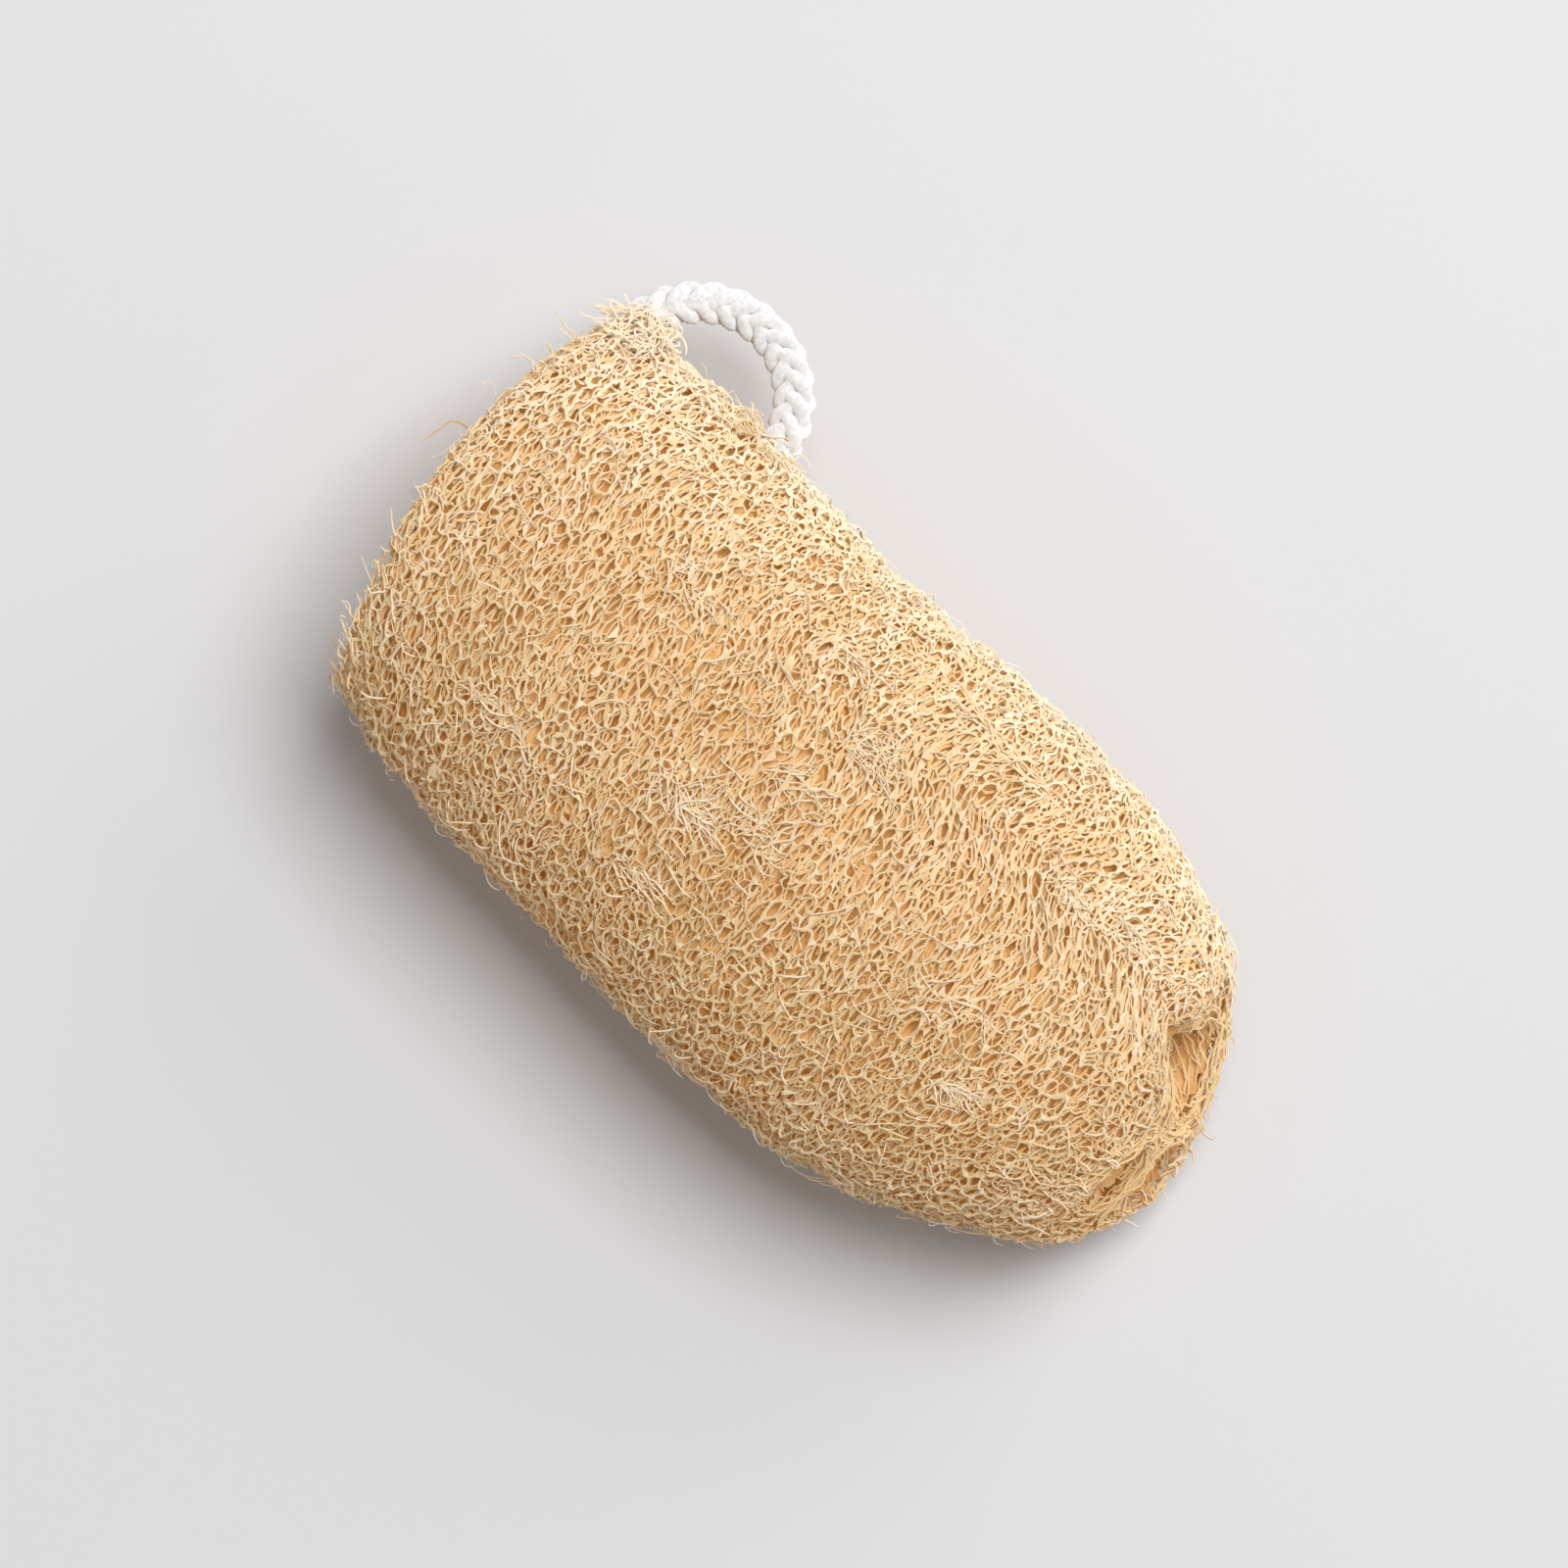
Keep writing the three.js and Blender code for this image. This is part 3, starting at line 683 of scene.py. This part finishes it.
def lining(solid, rng, angle):
    """The crinkled papery film on a channel's wall, from mouth to mouth."""
    turns = np.arange(LINING_SIDES) * FULL_TURN / LINING_SIDES
    near, far = channel_mouths(angle, turns)
    near = near + LINING_BACK + rng.uniform(*LINING_RAGGED["near"], LINING_SIDES)
    far = far - LINING_BACK + rng.uniform(*LINING_RAGGED["far"], LINING_SIDES)
    share = np.linspace(0, 1, LINING_STEPS)[:, None]
    share = 0.5 - 0.5 * np.cos(math.pi * share)
    x = (near + (far - near) * share).ravel()
    turn = np.tile(turns, LINING_STEPS)
    points = in_channel(angle, x, turn, LINING_INSET)
    crinkle = sum(size * wavy(rng, points, scale) for size, scale in LINING_CRINKLES)
    points = in_channel(angle, x, turn, LINING_INSET + crinkle)
    row, side = np.meshgrid(np.arange(LINING_STEPS - 1), np.arange(LINING_SIDES), indexing="ij")
    a = (row * LINING_SIDES + side).ravel()
    b = (row * LINING_SIDES + (side + 1) % LINING_SIDES).ravel()
    faces = np.stack([a, b, b + LINING_SIDES, a + LINING_SIDES], 1)
    middle = points[faces].mean(1)
    from_cord = np.linalg.norm(middle[:, None] - CORD_ROUTE[None], axis=2).min(1)
    tone = 0.5 + 0.3 * wavy(rng, points, 9.0)
    solid.add(points, [faces[from_cord >= LINING_CLEAR_OF_CORD]], tone)


def channel_net(solid, rng, net, angle, far):
    """The net on the wall of one channel, from its mouth inwards."""
    girth = FULL_TURN * CHANNEL_RADIUS
    points = scattered(rng, net["deep"], girth, *net["cell"], net["wander"])
    crossings, links = cell_borders(points, np.array(net["cell"]), girth)
    edge = rng.uniform(0, MOUTH_RAGGED, len(crossings))
    links = kept_links(links, (crossings[:, 0] > edge) & (crossings[:, 0] < net["deep"]))

    def place(inwards, around, inset):
        turn = around / girth * FULL_TURN
        near_mouth, far_mouth = channel_mouths(angle, turn)
        x = far_mouth - inwards if far else near_mouth + inwards
        points = in_channel(angle, x, turn, inset)
        return points, unit(in_channel(angle, x, turn, inset + 1) - points)

    net_on(place, solid, rng, crossings, links, net)


def mouth_fibre(solid, rng, angle):
    """A long fibre swept round the far mouth of a channel, over its lip and into it."""
    share = np.linspace(0, 1, MOUTH_FIBRE["steps"])
    turn = rng.uniform(0, FULL_TURN) + rng.uniform(*MOUTH_FIBRE["sweep"]) * share
    inset = rng.uniform(*MOUTH_FIBRE["inset"]) + rng.uniform(*MOUTH_FIBRE["slope"]) * share
    inset += 0.25 * wavy(rng, share[:, None], 0.5)
    _, mouth = channel_mouths(angle, turn)
    proud = rng.uniform(*MOUTH_FIBRE["proud"]) + 0.35 * wavy(rng, share[:, None], 0.6)
    placed = in_channel(angle, mouth, turn, inset)
    fall = MOUTH_FIBRE["falls_in"] * np.maximum(inset, 0)
    placed[:, 0] = slanted_face_x(placed[:, 1], placed[:, 2]) + proud - fall
    placed = placed[skin_share(placed) < MOUTH_FIBRE["edge"]]
    if len(placed) < MOUTH_FIBRE["fewest_steps"]:
        return
    size = rng.uniform(*MOUTH_FIBRE["radius"]) * (1 + 0.25 * wavy(rng, placed, 6.0))
    lone_fibre(solid, placed, size, [0.7, 0.0, 0.7], rng.uniform(*MOUTH_FIBRE["tone"]), 4)


# Fibres and flakes on the outside.
def lone_fibre(solid, points, radius, up, tone, sides):
    add_tubes(solid, points, np.zeros(len(points), int), radius, np.broadcast_to(up, points.shape),
              np.full(len(points), tone), sides, FIBRE_TIP)


def bundle(solid, rng, along, around, heading, length, lift, radius, tone, steps=7, curl=0.7,
           settle=(0.5, 0.95), rolled=True, waver=0.35, evenness=0.2):
    """Loose fibres that leave the net: one row for each, with its place, way, length and rise.

    Settle is how far each comes back down, from 0.5, not at all, to 1, wholly.
    """
    count = len(along)
    share = np.linspace(0, 1, steps)[None, :]
    turn = heading[:, None] + curl * rng.normal(size=(count, 1)) * share
    turn = turn + waver * np.cumsum(rng.normal(size=(count, steps)), 1) / math.sqrt(steps)
    stride = (length / (steps - 1))[:, None]
    a = along[:, None] + np.cumsum(stride * np.cos(turn), 1) - stride * np.cos(turn)
    w = around[:, None] + np.cumsum(stride * np.sin(turn), 1) - stride * np.sin(turn)
    rise = lift[:, None] * np.sin(share * math.pi * rng.uniform(*settle, (count, 1)))
    h = rise - BUNDLE["rooted"] * (1 - share)
    placed, up = on_net(a.ravel(), w.ravel() % GIRTH, h.ravel(), rolled)
    which = np.repeat(np.arange(count), steps)
    taper = BUNDLE["thick_end"] - BUNDLE["taper"] * np.tile(share[0], count)
    add_tubes(solid, placed, which, np.repeat(radius, steps) * taper, unit(up),
              np.repeat(tone, steps), 3, FIBRE_TIP, evenness)


def loose_fibres(solid, rng, count, spans, ways):
    """A bundle whose places, ways, lengths and tones are drawn from spans."""
    drawn = {key: rng.uniform(low, high, count) for key, (low, high) in spans.items()}
    bundle(solid, rng, **drawn, **ways)


def clump(solid, rng):
    along, around = rng.uniform(10, LENGTH - 12), rng.normal(GIRTH / 2, CLUMP["spread"])
    heading = rng.uniform(-CLUMP["slant"], CLUMP["slant"])
    spans = {
        "along": (along - CLUMP["before"], along + CLUMP["after"]),
        "around": (around - CLUMP["half_width"], around + CLUMP["half_width"]),
        "heading": (heading - CLUMP["slant"], heading + CLUMP["slant"]),
    }
    loose_fibres(solid, rng, CLUMP["fibres"], spans | CLUMP["spans"], CLUMP["ways"])


def vein(solid, rng):
    """A short run of a few fine fibres that follows the sponge's length."""
    start = rng.uniform(0, LENGTH - 30)
    stations = np.arange(start, start + rng.uniform(*VEIN["length"]), VEIN["step"])
    middle = rng.uniform(0, GIRTH) + 3.0 * wavy(rng, stations[:, None], 45.0, 2)
    middle += 0.8 * wavy(rng, stations[:, None], 9.0)
    for _ in range(rng.integers(*VEIN["fibres"])):
        first = rng.integers(0, len(stations) // 2)
        last = rng.integers(first + 4, len(stations) + 4)
        part = stations[first:last]
        apart = 0.9 * wavy(rng, part[:, None], 9.0) + rng.normal(0, 0.6)
        height = VEIN["height"] + 0.35 * wavy(rng, part[:, None], 7.0)
        placed, up = on_net(part, (middle[first:last] + apart) % GIRTH, height)
        size = rng.uniform(*VEIN["radius"]) * (1 + 0.3 * wavy(rng, part[:, None], 5.0))
        lone_fibre(solid, placed, size, up, rng.uniform(*VEIN["tone"]), 4)


def flake(solid, rng):
    """A small dry flake of skin caught on the net: a fan in its middle and a ring round it."""
    edges = FLAKE["edges"]
    place = np.array([rng.uniform(4, LENGTH - 6), rng.uniform(30, GIRTH - 30)])
    edge = np.arange(edges) * FULL_TURN / edges
    reach = rng.uniform(*FLAKE["reach"]) * (1 + 0.35 * rng.normal(size=edges))
    narrowed = rng.uniform(*FLAKE["narrowed"])
    size = np.stack([reach * np.cos(edge) * narrowed, 1.5 * reach * np.sin(edge)], 1)
    rows = np.vstack([place, place + 0.5 * size, place + size])
    inner_height = 0.2 + 0.1 * rng.normal(size=edges)
    rim_height = -0.1 + 0.3 * rng.normal(size=edges)
    placed, _ = on_net(rows[:, 0], rows[:, 1], np.concatenate([[0.25], inner_height, rim_height]))
    inner = 1 + np.arange(edges)
    next_inner = 1 + (np.arange(edges) + 1) % edges
    rim, next_rim = inner + edges, next_inner + edges
    fan = np.stack([0 * inner, inner, next_inner], 1)
    ring = [np.stack([inner, rim, next_rim], 1), np.stack([inner, next_rim, next_inner], 1)]
    solid.add(placed, [fan, *ring], np.full(len(placed), FLAKE["tone"]))


# Materials.
def material_with(name, roughness, specular):
    material = bpy.data.materials.new(name)
    material.use_nodes = True
    tree = material.node_tree
    shader = tree.nodes["Principled BSDF"]
    shader.inputs["Roughness"].default_value = roughness
    shader.inputs["Specular IOR Level"].default_value = specular
    shader.inputs["Diffuse Roughness"].default_value = 1.0
    return material, tree, shader


def linear(red, green, blue):
    def channel(value):
        value /= 255
        return value / 12.92 if value <= 0.04045 else ((value + 0.055) / 1.055) ** 2.4
    return (channel(red), channel(green), channel(blue), 1.0)


def noise_node(tree, scale, detail=3.0, stretch=None):
    place = tree.nodes.new("ShaderNodeTexCoord")
    noise = tree.nodes.new("ShaderNodeTexNoise")
    noise.inputs["Scale"].default_value = scale
    noise.inputs["Detail"].default_value = detail
    if stretch is None:
        tree.links.new(place.outputs["Object"], noise.inputs["Vector"])
    else:
        mapping = tree.nodes.new("ShaderNodeMapping")
        mapping.inputs["Scale"].default_value = stretch
        tree.links.new(place.outputs["Object"], mapping.inputs["Vector"])
        tree.links.new(mapping.outputs["Vector"], noise.inputs["Vector"])
    return noise


def colour_by(tree, shader, stops, factor):
    ramp = tree.nodes.new("ShaderNodeValToRGB")
    elements = ramp.color_ramp.elements
    while len(elements) < len(stops):
        elements.new(0.5)
    for element, (position, colour) in zip(elements, stops):
        element.position = position
        element.color = linear(*colour)
    tree.links.new(factor, ramp.inputs["Fac"])
    tree.links.new(ramp.outputs["Color"], shader.inputs["Base Color"])


def bump_into(tree, shader, height, strength, distance):
    bump = tree.nodes.new("ShaderNodeBump")
    bump.inputs["Strength"].default_value = strength
    bump.inputs["Distance"].default_value = distance
    tree.links.new(height, bump.inputs["Height"])
    tree.links.new(bump.outputs["Normal"], shader.inputs["Normal"])


def painted_through_glow(shader):
    """A painted glow: a faint warm emission that stands in for the light thin fibres pass on into
    the shade between them, and that glows even where no lamp reaches.
    """
    shader.inputs["Emission Color"].default_value = (1.0, 0.4, 0.04, 1.0)
    shader.inputs["Emission Strength"].default_value = 0.08


def sum_node(tree, factor, amount, term):
    """factor * amount + term"""
    node = tree.nodes.new("ShaderNodeMath")
    node.operation = "MULTIPLY_ADD"
    node.inputs[1].default_value = amount
    tree.links.new(factor, node.inputs[0])
    tree.links.new(term, node.inputs[2])
    return node.outputs["Value"]


def fibre_material(name, stops):
    """Dry plant fibre: each strand's own tone, mottled along the sponge, with a faint grain."""
    material, tree, shader = material_with(name, roughness=0.6, specular=0.3)
    shader.inputs["Sheen Weight"].default_value = 0.2
    shader.inputs["Sheen Roughness"].default_value = 0.4
    shader.inputs["Sheen Tint"].default_value = (1.0, 0.95, 0.86, 1.0)
    # painted glow: a warm emission in place of light passing through the fibres
    painted_through_glow(shader)
    tone = tree.nodes.new("ShaderNodeAttribute")
    tone.attribute_name = "tone"
    patches = noise_node(tree, scale=55.0, detail=3.0)
    flecks = noise_node(tree, scale=700.0, detail=2.0)
    grain = noise_node(tree, scale=2600.0, detail=2.0)
    mottled = sum_node(tree, patches.outputs["Fac"], 0.5, tone.outputs["Fac"])
    colour_by(tree, shader, stops, sum_node(tree, flecks.outputs["Fac"], 0.3, mottled))
    bump_into(tree, shader, grain.outputs["Fac"], strength=0.25, distance=0.0001)
    return material


def felt_material(name, stops):
    """The dense inner fibre that shows between the strands, with fine fibres round the sponge."""
    material, tree, shader = material_with(name, roughness=0.8, specular=0.15)
    # painted glow: a warm emission in place of light passing through the fibres
    painted_through_glow(shader)
    threads = noise_node(tree, scale=420.0, detail=4.0, stretch=(1.0, 0.22, 0.22))
    colour_by(tree, shader, stops, threads.outputs["Fac"])
    bump_into(tree, shader, threads.outputs["Fac"], strength=0.9, distance=0.0006)
    return material


def cord_material():
    material, tree, shader = material_with("cord_white", roughness=0.5, specular=0.35)
    fine = noise_node(tree, scale=1500.0, detail=2.0)
    colour_by(tree, shader, CORD_TONES, fine.outputs["Fac"])
    bump_into(tree, shader, fine.outputs["Fac"], strength=0.4, distance=0.00015)
    return material


def felt_body(material):
    """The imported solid, drawn in under the nets towards its middle line."""
    source = bpy.data.objects["loofah_sponge"].data
    corners = np.empty(len(source.vertices) * 3, np.float32)
    source.vertices.foreach_get("co", corners)
    corners = corners.reshape(-1, 3).astype(float) / MM
    form = smooth_table(STATIONS, corners[:, 0])
    middle = np.stack([0 * form[:, 1], form[:, 1], (form[:, 2] + form[:, 3]) / 2], 1)
    away = (corners - middle) * [0, 1, 1]
    height = np.linalg.norm(away, axis=1) * (1 - 1 / np.maximum(skin_share(corners), 0.05))
    drawn_in = -FELT_BLEND + (height + FELT_BLEND) * (1 - FELT_DEPTH / FELT_BLEND)
    pressed = np.where(height > -FELT_BLEND, drawn_in, height)
    moved = corners + unit(away) * (pressed - height)[:, None]
    moved[:, 0] *= FELT_SHORTER
    faces = [tuple(p.vertices) for p in source.polygons]
    made = make_piece("inner_felt", moved, faces, material)
    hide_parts("loofah_sponge")


# The cord: a round braid along a path.
def smooth_path(points, count):
    """Evenly spaced places on the smooth curve through the points."""
    padded = np.vstack([points[:1], points, points[-1:]])
    dense = [between_points(*padded[i:i + 4], t)
             for i in range(len(points) - 1) for t in np.arange(12) / 12]
    dense = np.array(dense + [points[-1]])
    run = np.concatenate([[0], np.cumsum(np.linalg.norm(np.diff(dense, axis=0), axis=1))])
    even = np.linspace(0, run[-1], count)
    return np.stack([np.interp(even, run, dense[:, k]) for k in range(3)], 1), run[-1]


def carried_frame(path):
    """Two directions across the path at each place, turning with it as little as possible."""
    tangent = unit(np.gradient(path, axis=0))
    side = unit(np.cross(tangent[0], [0.1, 0.2, 1.0]))
    sides = []
    for t in tangent:
        side = unit(side - t * (side @ t))
        sides.append(side)
    sides = np.array(sides)
    return sides, np.cross(tangent, sides)


def braided(name, path, length, diameter, material, sides):
    """Four strands wind each way round, each over two and under two of the others."""
    solid = Solid()
    side, lift = carried_frame(path)
    crossing = np.linspace(0, length, len(path)) / BRAID_PITCH * BRAID_STRANDS
    strand_radius = diameter * BRAID_STRAND
    ring = diameter / 2 - strand_radius
    for strand in range(BRAID_STRANDS):
        way = 1 if strand < BRAID_STRANDS // 2 else -1
        turn = strand * math.pi / 2 + way * crossing * math.pi / 4
        over = way * np.cos(math.pi / 2 * (2 * strand + way * crossing) - math.pi / 4)
        out = np.cos(turn)[:, None] * side + np.sin(turn)[:, None] * lift
        points = path + out * (ring + over * strand_radius * BRAID_WEAVE)[:, None]
        fullness = strand_radius * (1 + 0.1 * over)
        tone = np.full(len(points), 0.3 + 0.4 * (strand % 3) / 2)
        which = np.zeros(len(points), int)
        add_tubes(solid, points, which, fullness, out, tone, sides, end_taper=0.8, evenness=0.0)
    return solid.piece(name, material, "cord")


def knot_path():
    """An overhand knot drawn tight, from one end of the loop to the other."""
    t = np.linspace(KNOT_OPEN - math.pi, math.pi - KNOT_OPEN, 40)
    body = np.stack([
        -KNOT_WIDTH * (np.sin(t) + 2 * np.sin(2 * t)),
        -KNOT_DEPTH * (np.cos(t) - 2 * np.cos(2 * t) + 0.45),
        -KNOT_LIFT * np.sin(3 * t),
    ], 1) + KNOT_CENTRE
    if np.linalg.norm(body[0] - CORD_ROUTE[0]) > np.linalg.norm(body[-1] - CORD_ROUTE[0]):
        body = body[::-1]
    return smooth_path(np.vstack([CORD_ROUTE[:1], body, CORD_ROUTE[-1:]]), KNOT_STEPS)


# The camera, the light and the surface underneath.
def camera():
    data = bpy.data.cameras.new("view")
    made = new_object("view", data)
    right = np.array([math.cos(VIEW_TURN), math.sin(VIEW_TURN)])
    up = np.array([-math.sin(VIEW_TURN), math.cos(VIEW_TURN)])
    across = (PHOTO_SIDE / 2 - ORIGIN_PIXEL[0]) * PIXEL
    above = (ORIGIN_PIXEL[1] - PHOTO_SIDE / 2) * PIXEL
    centre = across * right + above * up
    made.location = (centre[0] * MM, centre[1] * MM, (MIDDLE_HEIGHT + CAMERA_DISTANCE) * MM)
    made.rotation_euler = (0, 0, VIEW_TURN)
    data.sensor_width = SENSOR
    data.lens = CAMERA_DISTANCE * SENSOR / (PHOTO_SIDE * PIXEL)
    data.clip_end = 10
    bpy.context.scene.camera = made


def lamp(name, size, power, azimuth, elevation):
    """A soft square lamp that faces the middle of the surface."""
    data = bpy.data.lights.new(name, "AREA")
    data.size = size
    data.energy = power
    made = new_object(name, data)
    turn = VIEW_TURN + math.radians(azimuth)
    rise = math.radians(elevation)
    way = Vector((math.cos(turn) * math.cos(rise), math.sin(turn) * math.cos(rise), math.sin(rise)))
    made.location = way * LAMP_DISTANCE
    made.rotation_euler = way.to_track_quat("Z", "Y").to_euler()


def surroundings():
    mesh = bpy.data.meshes.new("floor")
    side = FLOOR_HALF_SIDE
    mesh.from_pydata([(-side, -side, 0), (side, -side, 0), (side, side, 0), (-side, side, 0)], [],
                     [(0, 1, 2, 3)])
    floor = new_object("floor", mesh)
    material, _, shader = material_with("pale_paper", roughness=0.9, specular=0.1)
    shader.inputs["Base Color"].default_value = linear(*FLOOR_COLOUR)
    mesh.materials.append(material)
    world = bpy.data.worlds.new("studio")
    world.use_nodes = True
    background = world.node_tree.nodes["Background"]
    background.inputs["Color"].default_value = (1, 1, 1, 1)
    background.inputs["Strength"].default_value = SKY_STRENGTH
    bpy.context.scene.world = world
    for name, settings in LAMPS.items():
        lamp(name, **settings)
    bpy.context.scene.view_settings.view_transform = "Standard"


camera()
surroundings()

rng = np.random.default_rng(4107)
white = cord_material()
route, cord_length = smooth_path(CORD_ROUTE, CORD_STEPS)
cord = braided("hanging_loop", route, cord_length, CORD_DIAMETER, white, sides=9)
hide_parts("hanging_cord")
tight, tight_length = knot_path()
knot = braided("loop_knot", tight, tight_length, KNOT_CORD_DIAMETER, white, sides=6)
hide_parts("cord_knot")

outer_fibre = fibre_material("outer_fibre", OUTER_TONES)
# the inner and deep copies are darker and more orange, partly as painted shade between the layers
inner_fibre = fibre_material("inner_fibre", INNER_TONES)
deep_fibre = fibre_material("deep_fibre", DEEP_TONES)
felt = felt_material("felt", FELT_TONES)
film = felt_material("papery_film", FILM_TONES)

felt_body(felt)

for name, fibre in (("outer_net", outer_fibre), ("second_net", outer_fibre),
                    ("middle_net", inner_fibre), ("deep_net", deep_fibre)):
    layer = Solid()
    wrapping_net(layer, rng, WRAPPING_NETS[name])
    layer.piece(name, fibre, "dried_fibre")

ends = Solid()
for net in FACE_NETS:
    for far in (False, True):
        face_net(ends, rng, net, far)
for angle in CHANNEL_ANGLES:
    for far in (False, True):
        depth = CHANNEL_NET_DEPTH["far" if far else "near"]
        channel_net(ends, rng, CHANNEL_NET | {"deep": depth}, angle, far)
for angle in CHANNEL_ANGLES:
    for _ in range(MOUTH_FIBRE_COUNT):
        mouth_fibre(ends, rng, angle)
ends.piece("end_nets", inner_fibre, "dried_fibre")

linings = Solid()
for angle in CHANNEL_ANGLES:
    lining(linings, rng, angle)
linings.piece("channel_linings", film, "dried_fibre")

veins, flakes, loose = Solid(), Solid(), Solid()
for _ in range(VEIN_COUNT):
    vein(veins, rng)
for _ in range(FLAKE_COUNT):
    flake(flakes, rng)
for kind in LOOSE_FIBRES:
    loose_fibres(loose, rng, **kind)
for _ in range(CLUMP_COUNT):
    clump(loose, rng)
spike, _ = smooth_path(SPIKE, SPIKE_STEPS)
lone_fibre(loose, spike, np.linspace(*SPIKE_RADII, SPIKE_STEPS), [0.0, 0.0, 1.0], SPIKE_TONE, 5)
flakes.piece("skin_flakes", outer_fibre, "dried_fibre")
loose.piece("loose_fibres", outer_fibre, "dried_fibre")
veins.piece("lengthwise_veins", outer_fibre, "dried_fibre")
